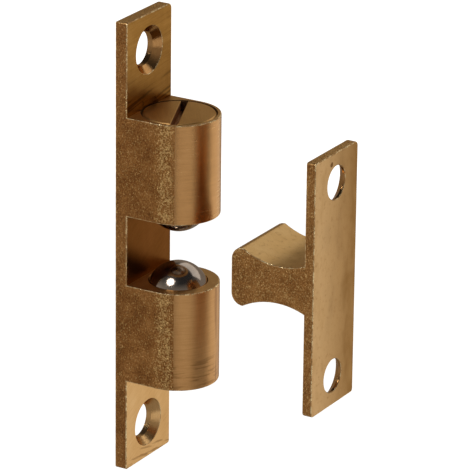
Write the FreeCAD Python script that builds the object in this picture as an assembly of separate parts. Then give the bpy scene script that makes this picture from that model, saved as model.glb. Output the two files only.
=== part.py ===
# Adjustable double ball catch with its separate strike, in millimetres.
# +Z is up along the catch's plate, +X is across its width, and +Y points into the surface
# that the catch is screwed to. The origin is the centre of the catch's back face.
# Two sprung balls face each other across a gap, and the strike's tongue pushes between them.
import FreeCAD, Part
import math
import os

Vector = FreeCAD.Vector

# Balls and their seats
ball_diameter = 8.0
ball_inset = 1.57  # from the boss's mouth in to the ball's centre
ball_clearance = 0.05
boss_gap = 9.2  # clear distance between the two bosses

# Walls of the catch body
boss_wall = 0.6  # outside the adjusting screw's bore
bore_ledge = 0.65  # step from the ball's bore out to the screw's bore
back_wall = 1.4  # from the catch's back face to the screw's bore
plate_thickness = 1.7
plate_corner_radius = 0.7

# Screw holes, the same in the catch and the strike
hole_diameter = 4.4
countersink_diameter = 6.2
hole_to_boss = 7.45
hole_to_end = 4.8

# Springs
spring_wire = 0.6
spring_mean_diameter = 5.0
spring_fitted_height = 5.92
spring_active_turns = 3.0
spring_closed_turns = 0.75
spring_gap = 0.03

# Adjusting screws
thread_pitch = 0.75
thread_depth = 0.35
thread_clearance = 0.05
thread_land = 0.5  # plain rim left above the thread
spring_seat_depth = 1.6
spring_seat_clearance = 0.3
screw_web = 1.1  # solid metal between the slot and the spring's seat
screw_slot_depth = 1.3
screw_slot_width = 0.9
screw_turns_in = 1.5
mouth_chamfer = 0.15
upper_slot_angle = 23.0
lower_slot_angle = -38.0

# Strike
strike_thickness = 1.3
strike_hole_spacing = 25.6
strike_hole_to_end = 3.95
waist_grip = 0.31  # how far the tongue's waist holds each ball back
head_clearance = 0.75  # between the tongue's head and each boss
head_radius = 1.6
waist_from_head_end = 6.65
closed_gap = 0.7  # left between the strike's plate and the bosses when shut
strike_standoff = 5.6  # from the bosses' fronts to the tongue's end, as placed here

# Sizes that follow from the ones above
ball_radius = ball_diameter / 2
ball_bore_radius = ball_radius + ball_clearance
screw_bore_radius = ball_bore_radius + bore_ledge
half_width = screw_bore_radius + boss_wall
plate_width = 2 * half_width
bore_y = -(back_wall + screw_bore_radius)
boss_depth = -bore_y + half_width

boss_inner_z = boss_gap / 2
ball_z = boss_inner_z + ball_inset
wire_radius = spring_wire / 2
spring_radius = spring_mean_diameter / 2
spring_rest = math.sqrt((ball_radius + wire_radius) ** 2 - spring_radius ** 2)
spring_low_z = ball_z + spring_rest + spring_gap
spring_high_z = spring_low_z + spring_fitted_height - spring_wire
seat_radius = spring_radius + wire_radius + spring_seat_clearance

screw_length = spring_seat_depth + screw_web + screw_slot_depth
screw_radius = screw_bore_radius - thread_clearance
screw_inner_z = spring_high_z + wire_radius + spring_gap - spring_seat_depth
boss_outer_z = screw_inner_z + screw_length
boss_length = boss_outer_z - boss_inner_z
screw_bore_end_z = screw_inner_z - (screw_turns_in + 1) * thread_pitch

plate_hole_z = boss_outer_z + hole_to_boss
plate_length = 2 * (plate_hole_z + hole_to_end)

ball_gap = boss_gap + 2 * ball_inset - ball_diameter
half_waist = ball_gap / 2 + waist_grip
half_head = boss_gap / 2 - head_clearance
tongue_reach = strike_thickness + boss_depth - plate_thickness + closed_gap
strike_back_y = -(boss_depth + strike_standoff + tongue_reach)
strike_front_y = strike_back_y + strike_thickness
strike_length = strike_hole_spacing + 2 * strike_hole_to_end


def lower(shape):
    # the upper boss's piece turned half way round, for the lower boss
    turned = shape.copy()
    turned.rotate(Vector(0, 0, 0), Vector(0, 1, 0), 180)
    return turned


def bore_cylinder(radius, from_z, to_z):
    return Part.makeCylinder(radius, to_z - from_z, Vector(0, bore_y, from_z))


def rounded_plate(length, thickness, back_y):
    plate = Part.makeBox(plate_width, thickness, length, Vector(-half_width, back_y, -length / 2))
    corner_edges = []
    for edge in plate.Edges:
        direction = edge.tangentAt(edge.FirstParameter)
        if abs(direction.y) > 0.99:
            corner_edges.append(edge)
    return plate.makeFillet(plate_corner_radius, corner_edges)


def screw_hole(face_y, inward, hole_z, thickness):
    # inward is +1 or -1 along Y, from the countersunk face into the plate
    axis = Vector(0, inward, 0)
    face = Vector(0, face_y, hole_z)
    mouth_radius = countersink_diameter / 2
    hole_radius = hole_diameter / 2
    start = Vector(0, face_y - inward, hole_z)
    hole = Part.makeCylinder(hole_radius, thickness + 2, start, axis)
    cone = Part.makeCone(mouth_radius, hole_radius, mouth_radius - hole_radius, face, axis)
    approach = Part.makeCylinder(mouth_radius, 1, face, axis * -1)
    return hole.fuse(cone).fuse(approach)


def upper_boss():
    # flat sides level with the plate's edges, and a half-round front
    back_y = -plate_thickness / 2
    left_back = Vector(-half_width, back_y, boss_inner_z)
    right_back = Vector(half_width, back_y, boss_inner_z)
    left_front = Vector(-half_width, bore_y, boss_inner_z)
    right_front = Vector(half_width, bore_y, boss_inner_z)
    front = Vector(0, -boss_depth, boss_inner_z)
    outline = Part.Wire([
        Part.makeLine(left_back, left_front),
        Part.Arc(left_front, front, right_front).toShape(),
        Part.makeLine(right_front, right_back),
        Part.makeLine(right_back, left_back),
    ])
    return Part.Face(outline).extrude(Vector(0, 0, boss_length))


def upper_bore():
    # the ball's round seat and mouth, its bore, and the wider bore of the adjusting screw
    seat = Part.makeSphere(ball_bore_radius, Vector(0, bore_y, ball_z))
    ball_bore = bore_cylinder(ball_bore_radius, ball_z, boss_outer_z)
    screw_bore = bore_cylinder(screw_bore_radius, screw_bore_end_z, boss_outer_z + 1)
    mouth_z = boss_outer_z - mouth_chamfer
    mouth = Part.makeCone(screw_bore_radius, screw_bore_radius + mouth_chamfer, mouth_chamfer,
                          Vector(0, bore_y, mouth_z))
    return seat.fuse(ball_bore).fuse(screw_bore).fuse(mouth)


def make_catch_body():
    body = rounded_plate(plate_length, plate_thickness, -plate_thickness)
    body = body.fuse(upper_boss()).fuse(lower(upper_boss()))
    for hole_z in (-plate_hole_z, plate_hole_z):
        body = body.cut(screw_hole(-plate_thickness, 1, hole_z, plate_thickness))
    body = body.cut(upper_bore()).cut(lower(upper_bore()))
    return body.removeSplitter()


def upper_ball():
    return Part.makeSphere(ball_radius, Vector(0, bore_y, ball_z))


def upper_spring():
    # a round wire coil, its end turns wound close and the turns between them open
    closed_rise = spring_closed_turns * (spring_wire + spring_gap)
    active_rise = spring_high_z - spring_low_z - 2 * closed_rise
    active_end = spring_closed_turns + spring_active_turns
    total_turns = active_end + spring_closed_turns
    steps_per_turn = 16
    step_count = round(total_turns * steps_per_turn)
    points = []
    for step in range(step_count + 1):
        turn = total_turns * step / step_count
        rise = (spring_wire + spring_gap) * min(turn, spring_closed_turns)
        active = min(max(turn - spring_closed_turns, 0), spring_active_turns)
        rise += active_rise * active / spring_active_turns
        rise += (spring_wire + spring_gap) * max(turn - active_end, 0)
        angle = 2 * math.pi * turn
        x = spring_radius * math.cos(angle)
        y = bore_y + spring_radius * math.sin(angle)
        points.append(Vector(x, y, spring_low_z + rise))
    path = Part.BSplineCurve()
    path.interpolate(points)
    tangent = path.tangent(path.FirstParameter)[0]
    section = Part.Wire(Part.makeCircle(wire_radius, points[0], tangent))
    return Part.Wire(path.toShape()).makePipeShell([section], True, True)


def thread_groove():
    # the helical groove of a right-hand thread, cut up to the screw's plain rim
    root_radius = screw_radius - thread_depth
    outer_radius = screw_radius + 0.15
    start_z = screw_inner_z - thread_pitch / 2
    rise = boss_outer_z - thread_land - start_z
    helix = Part.makeHelix(thread_pitch, rise, root_radius)
    helix.translate(Vector(0, 0, start_z))
    half_root = 0.05
    half_outer = half_root + (outer_radius - root_radius) * math.tan(math.radians(28))
    corners = [
        Vector(root_radius, 0, start_z - half_root),
        Vector(outer_radius, 0, start_z - half_outer),
        Vector(outer_radius, 0, start_z + half_outer),
        Vector(root_radius, 0, start_z + half_root),
    ]
    profile = Part.makePolygon(corners + [corners[0]])
    groove = Part.Wire(helix.Edges).makePipeShell([profile], True, True)
    groove.translate(Vector(0, bore_y, 0))
    return groove


def upper_adjusting_screw(slot_angle):
    # a threaded plug, slotted on the outside and hollow inside for the spring
    screw = bore_cylinder(screw_radius, screw_inner_z, boss_outer_z)
    rims = []
    for edge in screw.Edges:
        if isinstance(edge.Curve, Part.Circle):
            rims.append(edge)
    screw = screw.makeChamfer(mouth_chamfer, rims)
    screw = screw.cut(thread_groove())
    screw = screw.cut(bore_cylinder(seat_radius, screw_inner_z, screw_inner_z + spring_seat_depth))
    slot = Part.makeBox(2 * plate_width, screw_slot_width, screw_slot_depth + 1,
                        Vector(-plate_width, -screw_slot_width / 2, 0))
    slot.rotate(Vector(0, 0, 0), Vector(0, 0, 1), slot_angle)
    slot.translate(Vector(0, bore_y, boss_outer_z - screw_slot_depth))
    return screw.cut(slot)


def make_tongue():
    # a narrow waist for the balls to grip, between a flared root and a flared, rounded head
    end_y = strike_back_y + tongue_reach
    corner_y = end_y - head_radius
    waist_y = end_y - waist_from_head_end
    root_y = strike_back_y + strike_thickness / 2
    flare = half_head - half_waist
    flank_radius = ((corner_y - waist_y) ** 2 + flare ** 2) / (2 * flare)
    flank_drop = math.sqrt(flank_radius ** 2 - (waist_y - root_y) ** 2)
    half_root = half_waist + flank_radius - flank_drop
    round_z = half_head - head_radius
    bend = head_radius * math.sqrt(0.5)

    def point(y, z):
        return Vector(-half_width, y, z)

    def side(up):
        # up is +1 for the tongue's upper side and -1 for its lower side
        flank = Part.Arc(point(root_y, up * half_root), point(waist_y, up * half_waist),
                         point(corner_y, up * half_head))
        nose = Part.Arc(point(corner_y, up * half_head),
                        point(corner_y + bend, up * (round_z + bend)),
                        point(end_y, up * round_z))
        return [flank.toShape(), nose.toShape()]

    end = Part.makeLine(point(end_y, round_z), point(end_y, -round_z))
    root = Part.makeLine(point(root_y, -half_root), point(root_y, half_root))
    outline = Part.Wire(Part.__sortEdges__(side(1) + [end] + side(-1) + [root]))
    return Part.Face(outline).extrude(Vector(plate_width, 0, 0))


def make_strike():
    body = rounded_plate(strike_length, strike_thickness, strike_back_y).fuse(make_tongue())
    hole_z = strike_hole_spacing / 2
    for z in (-hole_z, hole_z):
        body = body.cut(screw_hole(strike_front_y, -1, z, strike_thickness))
    return body.removeSplitter()


nodes = {
    "catch_body": make_catch_body(),
    "upper_ball": upper_ball(),
    "lower_ball": lower(upper_ball()),
    "upper_spring": upper_spring(),
    "lower_spring": lower(upper_spring()),
    "upper_adjusting_screw": upper_adjusting_screw(upper_slot_angle),
    "lower_adjusting_screw": lower(upper_adjusting_screw(lower_slot_angle)),
    "strike": make_strike(),
}

os.makedirs("parts", exist_ok=True)
for name, shape in nodes.items():
    solid = shape.Solids[0] if len(shape.Solids) == 1 else shape
    state = "valid" if solid.isValid() else "NOT VALID"
    print(name, solid.ShapeType, state, "volume %.2f mm3" % solid.Volume)
    solid.exportStep("parts/" + name + ".step")
print("catch %.2f x %.2f x %.2f mm" % (plate_width, boss_depth, plate_length))
print("strike %.2f x %.2f x %.2f mm" % (plate_width, tongue_reach, strike_length))
print("gap between the balls %.2f mm" % ball_gap)
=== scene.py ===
from math import asin, atan2, cos, degrees, hypot, pi, radians, sin, sqrt, tan

import bmesh
import bpy
from mathutils import Matrix, Vector


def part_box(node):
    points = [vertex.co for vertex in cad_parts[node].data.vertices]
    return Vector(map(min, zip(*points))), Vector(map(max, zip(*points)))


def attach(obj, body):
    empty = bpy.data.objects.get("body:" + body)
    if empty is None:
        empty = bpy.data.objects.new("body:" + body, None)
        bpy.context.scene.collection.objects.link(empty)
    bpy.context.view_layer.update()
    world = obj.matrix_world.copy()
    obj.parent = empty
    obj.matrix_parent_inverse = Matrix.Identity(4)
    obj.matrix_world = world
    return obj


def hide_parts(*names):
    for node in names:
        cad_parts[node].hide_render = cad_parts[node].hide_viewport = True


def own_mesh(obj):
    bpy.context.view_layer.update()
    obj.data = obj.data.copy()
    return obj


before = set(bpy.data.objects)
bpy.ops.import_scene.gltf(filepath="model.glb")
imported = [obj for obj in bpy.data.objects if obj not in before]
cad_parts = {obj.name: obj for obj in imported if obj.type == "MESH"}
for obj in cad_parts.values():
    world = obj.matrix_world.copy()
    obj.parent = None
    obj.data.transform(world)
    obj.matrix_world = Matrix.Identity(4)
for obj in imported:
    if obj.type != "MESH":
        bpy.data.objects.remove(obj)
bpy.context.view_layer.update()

metre = 0.001  # the pieces are worked in millimetres and scaled to metres at the end
overrun = 1.0  # how far a cutter stands past the metal that it cuts
scene = bpy.context.scene
scene.view_settings.view_transform = "Standard"
scene.view_settings.look = "None"


def boxMillimetres(node):
    low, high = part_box(node)
    return low / metre, high / metre


catchLow, catchHigh = boxMillimetres("catch_body")
ballLow, ballHigh = boxMillimetres("upper_ball")
screwLow, screwHigh = boxMillimetres("upper_adjusting_screw")
springLow, springHigh = boxMillimetres("upper_spring")
strikeLow, strikeHigh = boxMillimetres("strike")
halfWidth = catchHigh.x
ballCentre = (ballLow + ballHigh) / 2
ballRadius = ballHigh.z - ballCentre.z
boreY = ballCentre.y
bossOuter = screwHigh.z

# camera, floor and light
cameraSettings = {
    "location": (-0.40630445, -0.25243839, 0.17946643),
    "right": (0.50908546, -0.8606451, 0.01104562),
    "up": (0.29666832, 0.18750186, 0.93639253),
    "lens": 307.973,
    "sensor": 36.0,
}
stageSettings = {
    "floorHeight": -0.9,
    "floorRadius": 2.5,
    "floorColour": (0.96, 0.96, 0.95, 1.0),
    "skyAbove": (0.035, 0.036, 0.040, 1.0),
    "skyBelow": (0.31, 0.285, 0.26, 1.0),
}
# turn and tilt are degrees round +Z from +X and up from the floor; glow is the panel's brightness
panelSettings = {
    "keySoftbox": {
        "turn": 168, "tilt": 48, "distance": 0.6, "size": (0.26, 0.26), "glow": 8.0, "round": True,
    },
    "backPanel": {
        "turn": -8, "tilt": 36, "distance": 0.6, "size": (0.62, 0.34), "glow": 0.75, "round": False,
    },
    "rightPanel": {
        "turn": 334, "tilt": -24, "distance": 0.34, "size": (0.34, 0.2), "glow": 0.66, "round": False,
    },
    "nearPanel": {
        "turn": 228, "tilt": -20, "distance": 0.42, "size": (0.36, 0.26), "glow": 0.38, "round": False,
    },
    "farPanel": {
        "turn": 95, "tilt": -4, "distance": 0.5, "size": (0.44, 0.34), "glow": 0.9, "round": False,
    },
    "leftPanel": {
        "turn": 150, "tilt": -20, "distance": 0.5, "size": (0.34, 0.4), "glow": 0.1, "round": False,
    },
}


def addCamera(settings):
    camera = bpy.data.objects.new("catchCamera", bpy.data.cameras.new("catchCamera"))
    scene.collection.objects.link(camera)
    right = Vector(settings["right"]).normalized()
    up = Vector(settings["up"])
    up = (up - right * up.dot(right)).normalized()
    back = right.cross(up)
    turned = Matrix((right, up, back)).transposed().to_4x4()
    camera.matrix_world = Matrix.Translation(settings["location"]) @ turned
    camera.data.sensor_width = settings["sensor"]
    camera.data.lens = settings["lens"]
    camera.data.clip_start = 0.01
    camera.data.clip_end = 20
    scene.camera = camera


def addPanel(name, settings):
    turn, tilt = radians(settings["turn"]), radians(settings["tilt"])
    direction = Vector((cos(turn) * cos(tilt), sin(turn) * cos(tilt), sin(tilt)))
    width, height = settings["size"]
    data = bpy.data.lights.new(name, "AREA")
    data.shape = "ELLIPSE" if settings["round"] else "RECTANGLE"
    data.size = width
    data.size_y = height
    data.energy = settings["glow"] * pi * width * height * (pi / 4 if settings["round"] else 1)
    panel = bpy.data.objects.new(name, data)
    panel.location = direction * settings["distance"] + Vector((0, -0.010, 0))
    panel.rotation_euler = direction.to_track_quat("Z", "Y").to_euler()
    panel.visible_camera = False
    scene.collection.objects.link(panel)


def addStage(settings):
    paper = bpy.data.materials.new("palePaper")
    paper.use_nodes = True
    shader = paper.node_tree.nodes["Principled BSDF"]
    shader.inputs["Base Color"].default_value = settings["floorColour"]
    shader.inputs["Roughness"].default_value = 0.9
    shader.inputs["Emission Color"].default_value = (1, 1, 1, 1)
    shader.inputs["Emission Strength"].default_value = 1.0
    bm = bmesh.new()
    bmesh.ops.create_circle(bm, cap_ends=True, segments=64, radius=settings["floorRadius"])
    rim = [edge for edge in bm.edges if edge.is_boundary]
    wall = bmesh.ops.extrude_edge_only(bm, edges=rim)  # the paper sweeps up behind the object
    wallVerts = [item for item in wall["geom"] if isinstance(item, bmesh.types.BMVert)]
    bmesh.ops.translate(bm, verts=wallVerts, vec=(0, 0, 3.0))
    bmesh.ops.translate(bm, verts=bm.verts, vec=(0, 0, settings["floorHeight"]))
    mesh = bpy.data.meshes.new("paperFloor")
    bm.to_mesh(mesh)
    bm.free()
    mesh.materials.append(paper)
    floor = bpy.data.objects.new("paperFloor", mesh)
    scene.collection.objects.link(floor)
    floor.visible_glossy = False
    floor.visible_diffuse = False
    floor.visible_shadow = False

    world = bpy.data.worlds.new("studio")
    world.use_nodes = True
    nodes, links = world.node_tree.nodes, world.node_tree.links
    direction = nodes.new("ShaderNodeTexCoord")
    height = nodes.new("ShaderNodeSeparateXYZ")
    blend = nodes.new("ShaderNodeMapRange")
    blend.inputs["From Min"].default_value = 0.30
    blend.inputs["From Max"].default_value = 0.72
    sky = nodes.new("ShaderNodeMix")
    sky.data_type = "RGBA"
    for socket in sky.inputs:
        if socket.name == "A" and socket.type == "RGBA":
            socket.default_value = settings["skyBelow"]
        if socket.name == "B" and socket.type == "RGBA":
            socket.default_value = settings["skyAbove"]
    links.new(direction.outputs["Generated"], height.inputs[0])
    links.new(height.outputs["Z"], blend.inputs["Value"])
    links.new(blend.outputs["Result"], sky.inputs[0])
    colourOut = [socket for socket in sky.outputs if socket.type == "RGBA"][0]
    links.new(colourOut, nodes["Background"].inputs["Color"])
    scene.world = world


addCamera(cameraSettings)
addStage(stageSettings)
for panelName, panel in panelSettings.items():
    addPanel(panelName, panel)
print("stage: camera, floor and", len(panelSettings), "panels")


def addNode(tree, kind, values=None, **options):
    node = tree.nodes.new(kind)
    for key, value in options.items():
        setattr(node, key, value)
    for key, value in (values or {}).items():
        node.inputs[key].default_value = value
    return node


def mathNode(tree, operation, first, second, clamp=False):
    node = addNode(tree, "ShaderNodeMath", operation=operation, use_clamp=clamp)
    for index, value in enumerate((first, second)):
        if isinstance(value, (int, float)):
            node.inputs[index].default_value = value
        else:
            tree.links.new(value, node.inputs[index])
    return node.outputs[0]


def rampNode(tree, factor, stops):
    node = addNode(tree, "ShaderNodeValToRGB")
    ramp = node.color_ramp
    while len(ramp.elements) < len(stops):
        ramp.elements.new(0.5)
    for element, (position, colour) in zip(ramp.elements, stops):
        element.position = position
        element.color = colour if len(colour) == 4 else (*colour, 1.0)
    tree.links.new(factor, node.inputs[0])
    return node.outputs[0]


def rangeNode(tree, value, fromLow, fromHigh, toLow, toHigh):
    node = addNode(tree, "ShaderNodeMapRange", {"From Min": fromLow, "From Max": fromHigh,
                                                "To Min": toLow, "To Max": toHigh})
    tree.links.new(value, node.inputs["Value"])
    return node.outputs["Result"]


def noiseNode(tree, place, stretch, scale, detail=4.0, rough=0.6, turn=(0, 0, 0)):
    if any(turn):  # turned first, so that the stretch runs along the turned axes
        turning = addNode(tree, "ShaderNodeMapping", {"Rotation": turn})
        tree.links.new(place, turning.inputs["Vector"])
        place = turning.outputs["Vector"]
    mapping = addNode(tree, "ShaderNodeMapping", {"Scale": stretch})
    noise = addNode(tree, "ShaderNodeTexNoise", {"Scale": scale, "Detail": detail, "Roughness": rough})
    tree.links.new(place, mapping.inputs["Vector"])
    tree.links.new(mapping.outputs["Vector"], noise.inputs["Vector"])
    return noise.outputs["Fac"]


def mixNode(tree, factor, first, second):
    node = addNode(tree, "ShaderNodeMix", data_type="RGBA", blend_type="MIX")
    sockets = [socket for socket in node.inputs if socket.type == "RGBA"]
    tree.links.new(factor, node.inputs[0])
    for socket, value in zip(sockets, (first, second)):
        if isinstance(value, tuple):
            socket.default_value = value
        else:
            tree.links.new(value, socket)
    return [socket for socket in node.outputs if socket.type == "RGBA"][0]


def alongAxis(tree, place, axis):
    split = addNode(tree, "ShaderNodeSeparateXYZ")
    tree.links.new(place, split.inputs[0])
    return split.outputs[axis]


def rgb(red, green, blue):
    return (red, green, blue, 1.0)


def metalMaterial(name, look):
    # tone: broad staining; grain: tool or brush lines along one direction; fleck: raised bright grains
    material = bpy.data.materials.new(name)
    material.use_nodes = True
    tree = material.node_tree
    shader = tree.nodes["Principled BSDF"]
    shader.inputs["Metallic"].default_value = 1.0
    shader.inputs["Specular Tint"].default_value = look.get("edgeTint", rgb(0.80, 0.66, 0.50))
    place = addNode(tree, "ShaderNodeTexCoord").outputs["Object"]
    scaled = addNode(tree, "ShaderNodeMapping", {"Scale": (1000, 1000, 1000)})
    tree.links.new(place, scaled.inputs["Vector"])
    place = scaled.outputs["Vector"]

    tone = noiseNode(tree, place, look.get("toneStretch", (1, 1, 1)), look["toneScale"], 5.0, 0.55)
    grainTurn = look.get("grainTurn", (0, 0, 0))
    grain = noiseNode(tree, place, look["grainStretch"], look["grainScale"], 6.0, 0.7, grainTurn)
    fleck = noiseNode(tree, place, look.get("fleckStretch", (1, 1, 1)), look["fleckScale"], 3.0, 0.65)

    if "highlightBand" in look:  # a band across one axis where the flecks stand thicker and brighter: a painted sparkle highlight
        highlightBand = look["highlightBand"]
        along = alongAxis(tree, place, highlightBand["axis"])
        band = mathNode(tree, "MULTIPLY", rangeNode(tree, along, *highlightBand["rise"], 0, 1),
                        rangeNode(tree, along, *highlightBand["fall"], 1, 0))
        patches = noiseNode(tree, place, (1, 1, 1), highlightBand["patchScale"], 2.0)
        patches = rangeNode(tree, patches, 0.38, 0.60, 0.35, 1.0)
        lift = mathNode(tree, "MULTIPLY", mathNode(tree, "MULTIPLY", band, patches), highlightBand["lift"])
        fleck = mathNode(tree, "ADD", fleck, lift)

    share = mathNode(tree, "MULTIPLY", grain, look["grainShare"])
    rest = mathNode(tree, "MULTIPLY", tone, 1 - look["grainShare"])
    colour = rampNode(tree, mathNode(tree, "ADD", share, rest), look["colours"])
    if "fade" in look:  # painted shade that deepens along one axis
        fade = look["fade"]
        wander = mathNode(tree, "MULTIPLY", mathNode(tree, "SUBTRACT", tone, 0.5), fade["wander"])
        along = mathNode(tree, "ADD", alongAxis(tree, place, fade["axis"]), wander)
        paintedShade = rangeNode(tree, along, *fade["span"], 0.0, fade["amount"])
        colour = mixNode(tree, paintedShade, colour, fade["colour"])
    for marks in look.get("streaks", []):  # separate dark cutter streaks, over one stretch of an axis
        marksTurn = marks.get("turn", (0, 0, 0))
        lines = noiseNode(tree, place, marks["stretch"], marks["scale"], 2.0, 0.4, marksTurn)
        along = alongAxis(tree, place, marks["axis"])
        where = rangeNode(tree, along, *marks["span"], 0.0, marks["amount"])
        if "end" in marks:
            where = mathNode(tree, "MULTIPLY", where, rangeNode(tree, along, *marks["end"], 1.0, 0.0))
        mask = mathNode(tree, "MULTIPLY", rangeNode(tree, lines, marks["from"], marks["to"], 0.0, 1.0), where)
        colour = mixNode(tree, mask, colour, marks["colour"])
    fleckMask = rangeNode(tree, fleck, look["fleckFrom"], look["fleckTo"], 0.0, look["fleckAmount"])
    colour = mixNode(tree, fleckMask, colour, look["fleckColour"])
    tree.links.new(colour, shader.inputs["Base Color"])

    low, high = look["roughness"]
    rough = rangeNode(tree, mathNode(tree, "ADD", share, rest), 0.3, 0.7, low, high)
    gloss = mathNode(tree, "MULTIPLY", fleckMask, look.get("fleckGloss", 0.1))
    rough = mathNode(tree, "SUBTRACT", rough, gloss, True)
    tree.links.new(rough, shader.inputs["Roughness"])

    height = mathNode(tree, "MULTIPLY", grain, look["grainHeight"])
    height = mathNode(tree, "ADD", height, mathNode(tree, "MULTIPLY", fleck, look["fleckHeight"]))
    bump = addNode(tree, "ShaderNodeBump", {"Strength": 1.0, "Distance": 0.00001})
    tree.links.new(height, bump.inputs["Height"])
    tree.links.new(bump.outputs["Normal"], shader.inputs["Normal"])
    return material


def stops(low, dark, middle, light, high):
    # three colours for a ramp, the outer two at the places low and high
    return [(low, dark), (0.50, middle), (high, light)]


# drawn sides left as they came off the bar: matt brown with bright grains
rawLook = {
    "toneScale": 0.45, "grainStretch": (1, 1.3, 0.8), "grainScale": 4.5, "grainShare": 0.68,
    "fleckScale": 5.0, "fleckFrom": 0.58, "fleckTo": 0.72, "fleckAmount": 0.9,
    "fleckColour": rgb(0.96, 0.64, 0.26),
    "colours": stops(0.36, (0.17, 0.069, 0.019), (0.37, 0.163, 0.048), (0.6, 0.3, 0.1), 0.64),
    "roughness": (0.36, 0.5), "fleckGloss": 0.18, "grainHeight": 2.6, "fleckHeight": 9.0,
}
# the flecks are painted thicker and brighter where the sides start to turn round the boss: a painted sparkle
# highlight
sparkleHighlightZone = {"axis": 1, "rise": (-5.6, -6.7), "fall": (-7.7, -8.7), "patchScale": 0.8, "lift": 0.17}
sideLook = dict(rawLook, highlightBand=sparkleHighlightZone)
# ground round fronts: satin with fine lines round the boss
satinLook = {
    "toneScale": 0.25, "toneStretch": (1, 1, 0.4), "grainStretch": (0.25, 0.25, 4.5), "grainScale": 1.3,
    "grainShare": 0.5, "fleckScale": 5.0, "fleckFrom": 0.7, "fleckTo": 0.85, "fleckAmount": 0.3,
    "fleckColour": rgb(0.75, 0.52, 0.28),
    "colours": stops(0.3, (0.42, 0.215, 0.076), (0.55, 0.295, 0.112), (0.67, 0.38, 0.155), 0.72),
    "roughness": (0.2, 0.3), "fleckGloss": 0.05, "grainHeight": 1.5, "fleckHeight": 1.5, "highlightBand": sparkleHighlightZone,
    "edgeTint": rgb(0.95, 0.88, 0.78),
}
# the lower boss is a little rougher, with faint chatter marks towards its end
satinLowLook = dict(
    satinLook, roughness=(0.29, 0.37), grainHeight=0.9,
    streaks=[
        {
            "axis": 2, "span": (-12.5, -14.5), "amount": 0.5, "stretch": (0.3, 0.3, 2.6), "scale": 1.0,
            "from": 0.55, "to": 0.62, "colour": rgb(0.24, 0.11, 0.035),
        },
        {
            "axis": 0, "span": (-0.15, 0.25), "end": (0.65, 1.05), "amount": 0.6, "stretch": (2.4, 1, 0.14),
            "scale": 1.0, "from": 0.42, "to": 0.54, "colour": rgb(0.22, 0.085, 0.022),
        },
    ],
)
# milled faces of the plate, with slanting cutter lines
brushedLook = {
    "toneScale": 0.3, "toneStretch": (1, 1, 0.5), "grainStretch": (0.22, 1, 4.0), "grainScale": 1.2,
    "grainShare": 0.5, "grainTurn": (0, radians(28), 0), "fleckScale": 3.0, "fleckFrom": 0.66,
    "fleckTo": 0.8, "fleckAmount": 0.35, "fleckColour": rgb(0.66, 0.42, 0.18),
    "colours": stops(0.28, (0.2, 0.092, 0.022), (0.33, 0.165, 0.042), (0.47, 0.255, 0.075), 0.72),
    "roughness": (0.26, 0.38), "fleckGloss": 0.08, "grainHeight": 1.6, "fleckHeight": 0.8,
}
endLook = dict(
    brushedLook, grainStretch=(0.5, 6, 1), grainTurn=(0, 0, radians(20)), roughness=(0.3, 0.42),
    colours=stops(0.28, (0.54, 0.29, 0.105), (0.68, 0.39, 0.15), (0.8, 0.5, 0.21), 0.72),
)
# painted shade: the wide bore and its mouth round the adjusting screw darkened to near black
mouthShadeLook = dict(
    rawLook, roughness=(0.55, 0.7), fleckAmount=0.1,
    colours=stops(0.36, (0.05, 0.022, 0.01), (0.09, 0.042, 0.018), (0.15, 0.07, 0.03), 0.64),
)
tipLook = dict(
    rawLook, roughness=(0.42, 0.54), fleckAmount=0.5,
    colours=stops(0.36, (0.4, 0.21, 0.075), (0.62, 0.36, 0.135), (0.8, 0.52, 0.23), 0.64),
)
strikeRawLook = dict(
    rawLook, fleckFrom=0.55, fleckTo=0.66, fleckHeight=8.0,
    colours=stops(0.36, (0.22, 0.095, 0.027), (0.44, 0.205, 0.062), (0.66, 0.35, 0.12), 0.64),
)
# above the upper boss the plate has painted shade deepening towards it, painted shade between the bosses, and
# a painted highlight that makes it pale below them
upperShadedLook = dict(
    brushedLook, grainStretch=(0.16, 1, 2.6), grainScale=1.0, grainTurn=(0, radians(5), 0), grainShare=0.62,
    grainHeight=2.2,
    # painted shade: the plate darkens towards the upper boss
    fade={"axis": 2, "span": (27.0, 18.8), "amount": 0.7, "wander": 6.0, "colour": rgb(0.14, 0.058, 0.016)},
    streaks=[
        {
            "axis": 2, "span": (22.5, 20.0), "amount": 0.75, "stretch": (0.13, 1, 2.4), "scale": 0.9,
            "turn": (0, radians(9), 0), "from": 0.52, "to": 0.6, "colour": rgb(0.05, 0.02, 0.007),
        },
    ],
)
# painted shade: the plate between the bosses darkened
gapShadeLook = dict(
    brushedLook,
    colours=stops(0.28, (0.09, 0.029, 0.0075), (0.135, 0.045, 0.012), (0.2, 0.072, 0.021), 0.72),
)
# painted highlight: the plate below the lower boss made pale; its streaks are cutter marks
lowHighlightLook = dict(
    brushedLook, colours=stops(0.28, (0.5, 0.28, 0.105), (0.64, 0.39, 0.165), (0.78, 0.52, 0.25), 0.72),
    streaks=[
        {
            "axis": 2, "span": (-27.0, -29.0), "amount": 0.6, "stretch": (0.25, 1, 2.2), "scale": 1.1,
            "turn": (0, radians(-12), 0), "from": 0.54, "to": 0.62, "colour": rgb(0.2, 0.09, 0.03),
        },
    ],
)
sunkLook = dict(
    satinLook, grainStretch=(1, 8, 1), roughness=(0.07, 0.15), grainHeight=0.6,
    edgeTint=rgb(0.8, 0.66, 0.5),
    colours=stops(0.3, (0.36, 0.17, 0.055), (0.48, 0.25, 0.09), (0.62, 0.35, 0.14), 0.72),
)
# a lighter copy of the countersink finish for the lower hole: painted highlight
sunkLowHighlightLook = dict(
    sunkLook, roughness=(0.18, 0.28),
    colours=stops(0.3, (0.56, 0.32, 0.125), (0.72, 0.44, 0.185), (0.86, 0.57, 0.27), 0.72),
)
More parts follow.
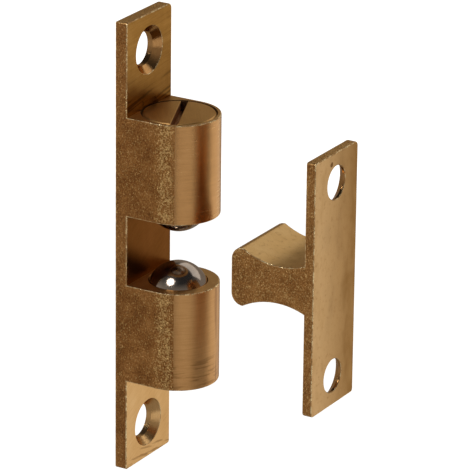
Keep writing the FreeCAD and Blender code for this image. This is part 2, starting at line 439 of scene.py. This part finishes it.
# a lighter, redder copy of the satin finish for the strike's face turned to the catch: painted bounce light
# off the brass
innerBounceLightLook = dict(
    satinLook, highlightBand=dict(sparkleHighlightZone, lift=0.0),
    colours=stops(0.3, (0.66, 0.3, 0.095), (0.76, 0.37, 0.125), (0.84, 0.45, 0.165), 0.72),
)
backLook = dict(brushedLook, grainTurn=(0, radians(6), 0), grainStretch=(1.0, 1, 6), roughness=(0.28, 0.36))
# edges rubbed bright, with a dotted burr
edgeLook = {
    "toneScale": 0.8, "grainStretch": (1, 1, 1), "grainScale": 2.2, "grainShare": 0.5, "fleckScale": 2.0,
    "fleckFrom": 0.47, "fleckTo": 0.54, "fleckAmount": 1.0, "fleckColour": rgb(1.0, 0.78, 0.44),
    "colours": stops(0.3, (0.42, 0.22, 0.085), (0.56, 0.33, 0.14), (0.74, 0.5, 0.26), 0.7),
    "roughness": (0.26, 0.4), "fleckGloss": 0.1, "grainHeight": 4.0, "fleckHeight": 16.0,
}
# the strike's mounting face: rolled, light and smooth, streaked along its length, with painted shade towards
# its +X side
rolledShadedLook = {
    "toneScale": 0.42, "toneStretch": (1.2, 1, 0.55), "grainStretch": (4, 1, 0.5), "grainScale": 1.6,
    "grainShare": 0.22, "fleckScale": 1.6, "fleckFrom": 0.56, "fleckTo": 0.74, "fleckAmount": 0.5,
    "fleckColour": rgb(0.32, 0.16, 0.055),
    "colours": stops(0.3, (0.46, 0.285, 0.128), (0.58, 0.375, 0.18), (0.68, 0.46, 0.235), 0.72),
    "roughness": (0.3, 0.38), "fleckGloss": -0.05, "grainHeight": 0.8, "fleckHeight": 0.5,
    # painted shade: the face darkens towards its +X side
    "fade": {
        "axis": 0, "span": (-3.2, 5.2), "amount": 0.95, "wander": 10.0, "colour": rgb(0.27, 0.14, 0.047),
    },
}
flankLook = dict(
    {key: value for key, value in rolledShadedLook.items() if key != "fade"}, grainStretch=(6, 0.4, 0.4),
    roughness=(0.32, 0.42),
    colours=stops(0.3, (0.56, 0.34, 0.135), (0.66, 0.42, 0.175), (0.76, 0.51, 0.23), 0.72),
)
screwLook = dict(
    brushedLook, grainStretch=(0.4, 7, 1), grainTurn=(0, 0, radians(-35)), roughness=(0.36, 0.46),
    colours=stops(0.28, (0.52, 0.275, 0.09), (0.66, 0.37, 0.13), (0.78, 0.465, 0.178), 0.72),
)
threadLook = dict(
    satinLook, roughness=(0.28, 0.38),
    colours=stops(0.3, (0.28, 0.15, 0.055), (0.38, 0.21, 0.085), (0.5, 0.3, 0.13), 0.72),
)
# painted light: the slot is given a lighter brown to stand in for light reaching into it
slotLitLook = dict(
    rawLook, colours=stops(0.3, (0.34, 0.17, 0.08), (0.5, 0.27, 0.13), (0.66, 0.38, 0.19), 0.72),
    fleckAmount=0.15, roughness=(0.5, 0.65),
)
# steel given a darkened, warm brown tint: painted reflection of the brass and the dark surroundings round the
# balls
steelReflectionTintLook = {
    "toneScale": 0.4, "grainStretch": (0.6, 1, 6), "grainScale": 1.2, "grainShare": 0.4, "fleckScale": 6.0,
    "fleckFrom": 0.7, "fleckTo": 0.84, "fleckAmount": 0.4, "fleckColour": rgb(0.34, 0.33, 0.33),
    "colours": stops(0.3, (0.36, 0.29, 0.235), (0.44, 0.365, 0.3), (0.54, 0.455, 0.385), 0.72),
    "edgeTint": rgb(0.82, 0.74, 0.66), "roughness": (0.11, 0.18), "fleckGloss": -0.15, "grainHeight": 0.1,
    "fleckHeight": 0.1,
}
springLook = dict(
    steelReflectionTintLook, grainStretch=(1, 1, 1), roughness=(0.24, 0.36), grainHeight=0.6,
    colours=stops(0.3, (0.26, 0.26, 0.27), (0.38, 0.38, 0.39), (0.5, 0.49, 0.48), 0.72),
)

rawBrass = metalMaterial("rawBrass", rawLook)
satinBrass = metalMaterial("satinBrass", satinLook)
upperShadedBrass = metalMaterial("upperShadedBrass", upperShadedLook)
sideBrass = metalMaterial("sideBrass", sideLook)
gapShadeBrass = metalMaterial("gapShadeBrass", gapShadeLook)
lowHighlightBrass = metalMaterial("lowHighlightBrass", lowHighlightLook)
endBrass = metalMaterial("endBrass", endLook)
tipBrass = metalMaterial("tipBrass", tipLook)
sunkLowHighlightBrass = metalMaterial("sunkLowHighlightBrass", sunkLowHighlightLook)
mouthShadeBrass = metalMaterial("mouthShadeBrass", mouthShadeLook)
satinLowBrass = metalMaterial("satinLowBrass", satinLowLook)
strikeRawBrass = metalMaterial("strikeRawBrass", strikeRawLook)
sunkBrass = metalMaterial("sunkBrass", sunkLook)
backBrass = metalMaterial("backBrass", backLook)
innerBounceLightBrass = metalMaterial("innerBounceLightBrass", innerBounceLightLook)
edgeBrass = metalMaterial("edgeBrass", edgeLook)
rolledShadedBrass = metalMaterial("rolledShadedBrass", rolledShadedLook)
flankBrass = metalMaterial("flankBrass", flankLook)
screwBrass = metalMaterial("screwBrass", screwLook)
threadBrass = metalMaterial("threadBrass", threadLook)
slotLitBrass = metalMaterial("slotLitBrass", slotLitLook)
ballSteelReflectionTint = metalMaterial("ballSteelReflectionTint", steelReflectionTintLook)
springSteel = metalMaterial("springSteel", springLook)
print("materials:", len(bpy.data.materials))


# the helpers below all work in millimetres
def vertsOf(result, key="geom"):
    return [item for item in result[key] if isinstance(item, bmesh.types.BMVert)]


def closeUp(bm):
    bmesh.ops.remove_doubles(bm, verts=bm.verts, dist=0.0005)
    bmesh.ops.recalc_face_normals(bm, faces=bm.faces)
    return bm


def revolve(profile, steps, arcs=()):
    # profile is radius and height pairs from axis to axis
    # arcs maps a corner's number to the centre height, degrees and steps of an arc drawn from it
    bm = bmesh.new()
    last = None
    for index, (radius, height) in enumerate(profile):
        corner = bm.verts.new((radius, 0, height))
        if last:
            bm.edges.new((last, corner))
        last = corner
        if index in dict(arcs):
            centreHeight, sweep, arcSteps = dict(arcs)[index]
            turned = bmesh.ops.spin(bm, geom=[corner], cent=(0, 0, centreHeight), axis=(0, 1, 0),
                                    dvec=(0, 0, 0), angle=radians(sweep), steps=arcSteps,
                                    use_merge=False, use_duplicate=False)
            last = vertsOf(turned, "geom_last")[0]
    bmesh.ops.spin(bm, geom=list(bm.verts) + list(bm.edges), cent=(0, 0, 0), axis=(0, 0, 1), dvec=(0, 0, 0),
                   angle=2 * pi, steps=steps, use_merge=True, use_duplicate=False)
    return closeUp(bm)


def moved(bm, matrix):
    bmesh.ops.transform(bm, matrix=matrix, verts=bm.verts)
    return bm


def asObject(bm, name):
    mesh = bpy.data.meshes.new(name)
    bm.to_mesh(mesh)
    bm.free()
    made = bpy.data.objects.new(name, mesh)
    scene.collection.objects.link(made)
    return made


def combine(bm, tool, operation):
    body, cutter = asObject(bm, "workBody"), asObject(tool, "workTool")
    modifier = body.modifiers.new("combine", "BOOLEAN")
    modifier.solver = "EXACT"
    modifier.operation = operation
    modifier.object = cutter
    bpy.context.view_layer.update()
    evaluated = body.evaluated_get(bpy.context.evaluated_depsgraph_get())
    mesh = bpy.data.meshes.new_from_object(evaluated)
    result = bmesh.new()
    result.from_mesh(mesh)
    for used in (body, cutter):
        oldMesh = used.data
        bpy.data.objects.remove(used)
        bpy.data.meshes.remove(oldMesh)
    bpy.data.meshes.remove(mesh)
    return result


def splitAcross(bm, axis, places):
    normal = Vector((0, 0, 0))
    normal[axis] = 1
    for place in places:
        bmesh.ops.bisect_plane(bm, geom=list(bm.verts) + list(bm.edges) + list(bm.faces), dist=0.0001,
                               plane_co=normal * place, plane_no=normal)


def outerEdges(bm, angle):
    joined = [edge for edge in bm.edges if len(edge.link_faces) == 2]
    return [edge for edge in joined if edge.calc_face_angle_signed() > radians(angle)]


def roundEdges(bm, edges, width, segments, edgeSlot):
    result = bmesh.ops.bevel(bm, geom=edges, offset=width, offset_type="OFFSET", affect="EDGES",
                             segments=segments, profile=0.5, material=-1, clamp_overlap=False,
                             loop_slide=True)
    for face in result["faces"]:
        face.material_index = edgeSlot


def roundedPlate(length, thickness, backY, settings):
    # each corner, named by its side and end, has its own radius
    bm = bmesh.new()
    bmesh.ops.create_cube(bm, size=1.0)
    bmesh.ops.scale(bm, vec=(2 * halfWidth, thickness, length), verts=bm.verts)
    bmesh.ops.translate(bm, vec=(0, backY - thickness / 2, 0), verts=bm.verts)
    for (side, end), radius in settings["cornerRadii"].items():
        atCorner = {vert for vert in bm.verts
                    if vert.co.x * side > halfWidth - 0.01 and vert.co.z * end > length / 2 - 0.01}
        corner = [edge for edge in bm.edges if atCorner.issuperset(edge.verts)]
        bmesh.ops.bevel(bm, geom=corner, offset=radius, offset_type="OFFSET", affect="EDGES",
                        segments=settings["cornerSteps"], profile=0.5, material=-1, clamp_overlap=False)
    return bm


def screwHoleCutter(settings, depth):
    # local +Z points into the metal from the sunk face; both rims are broken a little
    hole, sink, rim = settings["holeRadius"], settings["sinkRadius"], settings["rimBreak"]
    profile = [(0, -overrun), (sink + rim, -overrun), (sink + rim, 0), (sink, rim), (hole, sink - hole),
               (hole, depth - rim), (hole + rim, depth), (hole + rim, depth + overrun), (0, depth + overrun)]
    return revolve(profile, settings["holeSteps"])


def paint(bm, finishes, choose, settings):
    # the rubbed edges keep the finish that they got when they were rounded
    order = list(finishes)
    for face in bm.faces:
        if face.material_index != order.index("worn"):
            face.material_index = order.index(choose(face, settings))


def finishPiece(bm, name, materials, body, node, sharpAngle=50):
    bmesh.ops.dissolve_degenerate(bm, dist=0.001, edges=bm.edges)
    closeUp(bm)
    bmesh.ops.scale(bm, vec=(metre, metre, metre), verts=bm.verts)
    for face in bm.faces:
        face.smooth = True
    piece = asObject(bm, name)
    for material in materials:
        piece.data.materials.append(material)
    piece.data.set_sharp_from_angle(angle=radians(sharpAngle))
    weighted = piece.modifiers.new("evenShading", "WEIGHTED_NORMAL")
    weighted.keep_sharp = True
    weighted.weight = 50
    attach(piece, body)
    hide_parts(node)
    return piece


turnOver = Matrix.Rotation(pi, 4, "Y")  # the upper boss's pieces turned half way round, for the lower boss

catchSettings = {
    "plateThickness": 1.7,
    "cornerRadii": {(-1, 1): 0.18, (1, 1): 0.7, (-1, -1): 0.3, (1, -1): 0.35},
    "cornerSteps": 8,
    "holeHeight": 25.199,
    "holeRadius": 2.2,
    "sinkRadius": 3.1,
    "bossInner": 4.6,
    "ballBoreRadius": 4.05,
    "screwBoreRadius": 4.70,
    "ledgeHeight": 11.874,
    "mouthChamfer": 0.15,
    "rawFrontY": -8.39,  # the ground front starts here
    "boreRunOut": 1.0,  # the wide bore runs on this far past the mouth, into the plate's face
    "roundSteps": 128,
    "holeSteps": 96,
    "seatSteps": 12,
    "edgeRound": 0.13,
    "rimBreak": 0.06,
}
catchFinishes = {
    "raw": rawBrass, "side": sideBrass, "front": satinBrass, "lowFront": satinLowBrass,
    "upperPlate": upperShadedBrass, "gapPlate": gapShadeBrass, "lowPlate": lowHighlightBrass, "back": backBrass,
    "bossEnd": endBrass, "plateEnd": tipBrass, "worn": edgeBrass,
    "sink": sunkBrass, "lowSink": sunkLowHighlightBrass, "bore": sunkBrass, "mouth": mouthShadeBrass,
}


def catchFinish(face, settings):
    centre, normal = face.calc_center_median(), face.normal
    height, upper = abs(centre.z), centre.z > 0
    plateFront = -settings["plateThickness"]
    fromBore = hypot(centre.x, centre.y - boreY)
    fromHole = hypot(centre.x, height - settings["holeHeight"])
    if fromHole < settings["sinkRadius"] + 0.1 and abs(normal.y) < 0.9:
        if fromHole > settings["sinkRadius"] - 0.01:
            return "worn"
        return "sink" if upper else "lowSink"
    if normal.y < -0.99 and centre.y > plateFront - 0.1:
        if height < settings["bossInner"]:
            return "gapPlate"
        return "upperPlate" if upper else "lowPlate"
    if normal.y > 0.99 and centre.y > -0.1:
        return "back"
    onBossEnd = height > bossOuter - 0.01 or height < settings["bossInner"] + 0.01
    if abs(normal.z) > 0.99 and height < catchHigh.z - 0.1 and onBossEnd:
        return "bossEnd"
    if fromBore < settings["screwBoreRadius"] + 0.2:
        if height > bossOuter:
            return "upperPlate" if upper else "lowPlate"
        return "mouth" if height > settings["ledgeHeight"] else "bore"
    if centre.y < settings["rawFrontY"]:
        return "front" if upper else "lowFront"
    if height < bossOuter and centre.y < plateFront:
        return "side"
    return "plateEnd" if abs(normal.z) > 0.3 else "raw"


def buildCatch(settings):
    thickness = settings["plateThickness"]
    bm = roundedPlate(catchHigh.z - catchLow.z, thickness, 0, settings)
    splitAcross(bm, 2, [side * place for side in (1, -1) for place in (settings["bossInner"], bossOuter)])
    for side in (1, -1):
        boss = bmesh.new()
        bmesh.ops.create_circle(boss, cap_ends=True, segments=settings["roundSteps"], radius=halfWidth)
        bmesh.ops.translate(boss, vec=(0, boreY, settings["bossInner"]), verts=boss.verts)
        bmesh.ops.bisect_plane(boss, geom=list(boss.verts) + list(boss.edges) + list(boss.faces), dist=0.0001,
                               plane_co=(0, boreY, 0), plane_no=(0, 1, 0), clear_outer=True)
        straight = [edge for edge in boss.edges if all(abs(vert.co.y - boreY) < 0.001 for vert in edge.verts)]
        wall = bmesh.ops.extrude_edge_only(boss, edges=straight)
        bmesh.ops.translate(boss, vec=(0, -thickness / 2 - boreY, 0), verts=vertsOf(wall))
        raised = bmesh.ops.extrude_face_region(boss, geom=list(boss.faces))
        bmesh.ops.translate(boss, vec=(0, 0, bossOuter - settings["bossInner"]), verts=vertsOf(raised))
        closeUp(boss)
        if side < 0:
            moved(boss, turnOver)
        bm = combine(bm, boss, "UNION")
    bmesh.ops.remove_doubles(bm, verts=bm.verts, dist=0.0005)
    roundEdges(bm, outerEdges(bm, 30), settings["edgeRound"], 2, list(catchFinishes).index("worn"))

    for side in (1, -1):
        # ball seat and bore, ledge, wider bore for the adjusting screw, chamfered mouth
        ball, wide, rim = settings["ballBoreRadius"], settings["screwBoreRadius"], settings["rimBreak"]
        chamfer, ledge, inner = settings["mouthChamfer"], settings["ledgeHeight"], settings["bossInner"]
        runOut = bossOuter + settings["boreRunOut"]
        drop = ballCentre.z - inner - rim
        lip = sqrt(ball ** 2 - drop ** 2)
        seatArc = (ballCentre.z, -degrees(atan2(drop, lip)), settings["seatSteps"])
        profile = [(0, inner - overrun), (lip + rim, inner - overrun), (lip + rim, inner), (lip, inner + rim),
                   (ball, ledge), (wide, ledge), (wide, bossOuter - chamfer), (wide + chamfer, bossOuter),
                   (wide, bossOuter), (wide, runOut), (0, runOut)]
        bore = revolve(profile, settings["roundSteps"], {3: seatArc})
        moved(bore, Matrix.Translation((0, boreY, 0)))
        if side < 0:
            moved(bore, turnOver)
        bm = combine(bm, bore, "DIFFERENCE")
        hole = screwHoleCutter(settings, thickness)
        inward = Matrix.Rotation(-pi / 2, 4, "X")
        moved(hole, Matrix.Translation((0, -thickness, side * settings["holeHeight"])) @ inward)
        bm = combine(bm, hole, "DIFFERENCE")

    paint(bm, catchFinishes, catchFinish, settings)
    return finishPiece(bm, "catchBody", catchFinishes.values(), "catch", "catch_body", 38)


buildCatch(catchSettings)
print("catch body done")

ballSettings = {"subdivisions": 5}


def buildBall(name, body, node, side, settings):
    bm = bmesh.new()
    bmesh.ops.create_icosphere(bm, subdivisions=settings["subdivisions"], radius=ballRadius)
    moved(bm, Matrix.Translation(ballCentre))
    if side < 0:
        moved(bm, turnOver)
    return finishPiece(bm, name, [ballSteelReflectionTint], body, node, 180)


buildBall("upperBall", "upper_ball", "upper_ball", 1, ballSettings)
buildBall("lowerBall", "lower_ball", "lower_ball", -1, ballSettings)
print("balls done")

springSettings = {
    "wireRadius": 0.3,
    "coilRadius": 2.5,
    "closedTurns": 0.75,
    "closedPitch": 0.63,
    "activeTurns": 3.0,
    "stepsPerTurn": 32,
    "wireSides": 14,
    "endBreak": 0.06,
    "joints": {1: "upper_ball_slide", -1: "lower_ball_slide"},
}


def buildSpring(name, body, node, side, settings):
    wire, closedTurns, activeTurns = settings["wireRadius"], settings["closedTurns"], settings["activeTurns"]
    bottom, top = springLow.z + wire, springHigh.z - wire
    closedRise = closedTurns * settings["closedPitch"]
    activeRise = top - bottom - 2 * closedRise
    runs = [(closedTurns, closedRise), (activeTurns, activeRise), (closedTurns, closedRise)]
    bm = bmesh.new()
    bmesh.ops.create_circle(bm, cap_ends=True, segments=settings["wireSides"], radius=wire)
    moved(bm, Matrix.Translation((settings["coilRadius"], 0, bottom)) @ Matrix.Rotation(pi / 2, 4, "X"))
    section = list(bm.verts) + list(bm.edges)
    for turns, rise in runs:
        steps = round(turns * settings["stepsPerTurn"])
        swept = bmesh.ops.spin(bm, geom=section, cent=(0, 0, 0), axis=(0, 0, 1), dvec=(0, 0, rise / steps),
                               angle=2 * pi * turns, steps=steps, use_merge=False, use_duplicate=False)
        section = [item for item in swept["geom_last"] if not isinstance(item, bmesh.types.BMFace)]
    bmesh.ops.holes_fill(bm, edges=[edge for edge in bm.edges if edge.is_boundary], sides=0)
    ends = [edge for edge in bm.edges if any(len(face.verts) > 4 for face in edge.link_faces)]
    bmesh.ops.bevel(bm, geom=ends, offset=settings["endBreak"], offset_type="OFFSET", affect="EDGES",
                    segments=2, profile=0.5, material=-1, clamp_overlap=True)
    moved(bm, Matrix.Translation((0, boreY, 0)))
    if side < 0:
        moved(bm, turnOver)
    spring = finishPiece(bm, name, [springSteel], body, node)
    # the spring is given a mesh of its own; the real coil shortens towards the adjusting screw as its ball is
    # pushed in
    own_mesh(spring)
    return spring


buildSpring("upperSpring", "upper_spring", "upper_spring", 1, springSettings)
buildSpring("lowerSpring", "lower_spring", "lower_spring", -1, springSettings)
print("springs done")

screwSettings = {
    "radius": 4.65,
    "chamfer": 0.15,
    "seatRadius": 3.1,
    "seatDepth": 1.6,
    "seatBreak": 0.12,
    "slotDepth": 1.3,
    "slotWidth": 0.9,
    "slotFlare": 0.07,
    "slotBreak": 0.12,
    "slotCutterRise": 0.3,
    "slotCutterReach": 7.0,  # from the axis, past the rim at both ends
    "threadPitch": 0.75,
    "threadDepth": 0.35,
    "threadLand": 0.5,
    "threadFade": 0.2,
    "rootHalf": 0.05,
    "flankAngle": 28,
    "rowsPerPitch": 12,
    "roundSteps": 96,
}


def threadInset(settings, turn, height, inner, outer):
    pitch = settings["threadPitch"]
    along = ((height - inner + pitch / 2) / pitch - turn / (2 * pi)) % 1.0
    away = min(along, 1 - along) * pitch
    mouthHalf = settings["rootHalf"] + settings["threadDepth"] * tan(radians(settings["flankAngle"]))
    share = max(0.0, min(1.0, (mouthHalf - away) / (mouthHalf - settings["rootHalf"])))
    fade = max(0.0, min(1.0, (outer - settings["threadLand"] - height) / settings["threadFade"]))
    return settings["threadDepth"] * share * fade


def buildScrew(name, body, node, side, slotAngle, settings):
    inner, outer = screwLow.z, screwHigh.z
    radius, chamfer, seat = settings["radius"], settings["chamfer"], settings["seatRadius"]
    rows = round((outer - inner - 2 * chamfer) / settings["threadPitch"] * settings["rowsPerPitch"])
    seatTop, seatBreak = inner + settings["seatDepth"], settings["seatBreak"]
    profile = [(0, seatTop), (seat, seatTop), (seat, inner + seatBreak), (seat + seatBreak, inner),
               (radius - chamfer, inner)]
    for row in range(rows + 1):
        profile.append((radius, inner + chamfer + (outer - inner - 2 * chamfer) * row / rows))
    profile += [(radius - chamfer, outer), (0, outer)]
    bm = revolve(profile, settings["roundSteps"])
    for vert in bm.verts:
        if hypot(vert.co.x, vert.co.y) > radius - 0.01:
            inset = threadInset(settings, atan2(vert.co.y, vert.co.x), vert.co.z, inner, outer)
            vert.co.x *= 1 - inset / radius
            vert.co.y *= 1 - inset / radius
    threadFaces = [face for face in bm.faces if hypot(*face.calc_center_median().xy) > radius - 1]
    bmesh.ops.triangulate(bm, faces=threadFaces)

    # the slot's section, flared at its mouth, drawn out along X
    half, flare, floor = settings["slotWidth"] / 2, settings["slotFlare"], outer - settings["slotDepth"]
    corner, rise, reach = settings["slotBreak"], settings["slotCutterRise"], settings["slotCutterReach"]
    slot = bmesh.new()
    section = [(-half, floor + corner), (-half + corner, floor), (half - corner, floor),
               (half, floor + corner), (half, outer - flare), (half + flare + rise, outer + rise),
               (-half - flare - rise, outer + rise), (-half, outer - flare)]
    slot.faces.new([slot.verts.new((-reach, y, z)) for y, z in section])
    drawn = bmesh.ops.extrude_face_region(slot, geom=list(slot.faces))
    bmesh.ops.translate(slot, vec=(2 * reach, 0, 0), verts=vertsOf(drawn))
    closeUp(slot)
    moved(slot, Matrix.Rotation(radians(slotAngle), 4, "Z"))
    bm = combine(bm, slot, "DIFFERENCE")

    face, thread, slotPart = range(3)
    direction = Vector((cos(radians(slotAngle)), sin(radians(slotAngle)), 0))
    across = Vector((-direction.y, direction.x, 0))
    for item in bm.faces:
        centre = item.calc_center_median()
        if abs(centre.dot(across)) < half + 0.01 and centre.z > floor - 0.01 and centre.z < outer - 0.001:
            item.material_index = slotPart
        elif centre.z > outer - chamfer - 0.01:
            item.material_index = face
        else:
            item.material_index = thread
    moved(bm, Matrix.Translation((0, boreY, 0)))
    if side < 0:
        moved(bm, turnOver)
    return finishPiece(bm, name, [screwBrass, threadBrass, slotLitBrass], body, node, 35)


buildScrew("upperAdjustingScrew", "upper_adjuster", "upper_adjusting_screw", 1, 23.0, screwSettings)
buildScrew("lowerAdjustingScrew", "lower_adjuster", "lower_adjusting_screw", -1, -38.0, screwSettings)
print("adjusting screws done")

strikeSettings = {
    "thickness": 1.3,
    "cornerRadii": {(-1, 1): 0.3, (1, 1): 0.7, (-1, -1): 0.6, (1, -1): 0.4},
    "cornerSteps": 8,
    "holeHeight": 12.8,
    "holeRadius": 2.2,
    "sinkRadius": 3.1,
    "halfWaist": 2.48,
    "halfHead": 3.85,
    "headRadius": 1.6,
    "waistFromEnd": 6.65,
    "holeSteps": 96,
    "flankSteps": 36,
    "noseSteps": 12,
    "edgeRound": 0.11,
    "rimBreak": 0.06,
    "tongueSplit": 8.0,
    "punchPlace": (-1.3, 15.5),
    "punchRadius": 0.34,
    "punchDepth": 0.28,
    "punchCutterRise": 0.3,
    "punchSteps": 16,
}
strikeFinishes = {
    "raw": strikeRawBrass, "mountFace": rolledShadedBrass, "innerFace": innerBounceLightBrass, "flank": flankBrass,
    "sink": sunkBrass, "worn": edgeBrass, "plateEnd": tipBrass,
}


def strikeFinish(face, settings):
    centre, normal = face.calc_center_median(), face.normal
    fromHole = hypot(centre.x, abs(centre.z) - settings["holeHeight"])
    if fromHole < settings["sinkRadius"] + 0.1 and abs(normal.y) < 0.9:
        atRim = fromHole > settings["sinkRadius"] - 0.01 or centre.y < strikeLow.y + settings["rimBreak"]
        return "worn" if atRim and abs(normal.y) > 0.2 else "sink"
    if normal.y < -0.5:
        return "mountFace"
    if normal.y > 0.5:
        return "innerFace"
    if centre.y > strikeLow.y + settings["thickness"] + 0.05 and abs(normal.x) < 0.5:
        return "flank"
    return "plateEnd" if abs(normal.z) > 0.3 else "raw"


def buildStrike(settings):
    backY, endY = strikeLow.y, strikeHigh.y
    frontY = backY + settings["thickness"]
    head, waist, nose = settings["halfHead"], settings["halfWaist"], settings["headRadius"]
    cornerY, waistY = endY - nose, endY - settings["waistFromEnd"]
    rootY = backY + settings["thickness"] / 2
    flare = head - waist
    flankRadius = ((cornerY - waistY) ** 2 + flare ** 2) / (2 * flare)
    flankCentre = (0, waistY, waist + flankRadius)

    # half the tongue's outline: its flank and nose are swept by spinning one point
    tongue = bmesh.new()
    corner = tongue.verts.new((0, cornerY, head))
    sweep = asin((cornerY - waistY) / flankRadius) + asin((waistY - rootY) / flankRadius)
    bmesh.ops.spin(tongue, geom=[corner], cent=flankCentre, axis=(1, 0, 0), dvec=(0, 0, 0), angle=-sweep,
                   steps=settings["flankSteps"], use_merge=False, use_duplicate=False)
    bmesh.ops.spin(tongue, geom=[corner], cent=(0, cornerY, head - nose), axis=(1, 0, 0), dvec=(0, 0, 0),
                   angle=-pi / 2, steps=settings["noseSteps"], use_merge=False, use_duplicate=False)
    mirrored = bmesh.ops.duplicate(tongue, geom=list(tongue.verts) + list(tongue.edges))
    bmesh.ops.scale(tongue, vec=(1, 1, -1), verts=vertsOf(mirrored))
    loose = [vert for vert in tongue.verts if len(vert.link_edges) == 1]
    ends = sorted(loose, key=lambda vert: vert.co.y)
    tongue.edges.new(ends[:2])
    tongue.edges.new(ends[2:])
    bmesh.ops.contextual_create(tongue, geom=list(tongue.edges))
    bmesh.ops.translate(tongue, vec=(-halfWidth, 0, 0), verts=tongue.verts)
    drawn = bmesh.ops.extrude_face_region(tongue, geom=list(tongue.faces))
    bmesh.ops.translate(tongue, vec=(2 * halfWidth, 0, 0), verts=vertsOf(drawn))
    closeUp(tongue)

    bm = roundedPlate(strikeHigh.z - strikeLow.z, settings["thickness"], frontY, settings)
    splitAcross(bm, 2, (-settings["tongueSplit"], settings["tongueSplit"]))
    bm = combine(bm, tongue, "UNION")
    bmesh.ops.remove_doubles(bm, verts=bm.verts, dist=0.0005)
    roundEdges(bm, outerEdges(bm, 35), settings["edgeRound"], 2, list(strikeFinishes).index("worn"))
    for side in (1, -1):
        hole = screwHoleCutter(settings, settings["thickness"])
        inward = Matrix.Rotation(pi / 2, 4, "X")
        moved(hole, Matrix.Translation((0, frontY, side * settings["holeHeight"])) @ inward)
        bm = combine(bm, hole, "DIFFERENCE")
    # a small punch mark beside the top hole
    radius, rise = settings["punchRadius"], settings["punchCutterRise"]
    profile = [(0, -settings["punchDepth"]), (radius, 0), (radius, rise), (0, rise)]
    punch = revolve(profile, settings["punchSteps"])
    across, up = settings["punchPlace"]
    moved(punch, Matrix.Translation((across, backY, up)) @ Matrix.Rotation(pi / 2, 4, "X"))
    bm = combine(bm, punch, "DIFFERENCE")

    paint(bm, strikeFinishes, strikeFinish, settings)
    return finishPiece(bm, "strikePlate", strikeFinishes.values(), "strike", "strike", 38)


buildStrike(strikeSettings)
print("strike done")
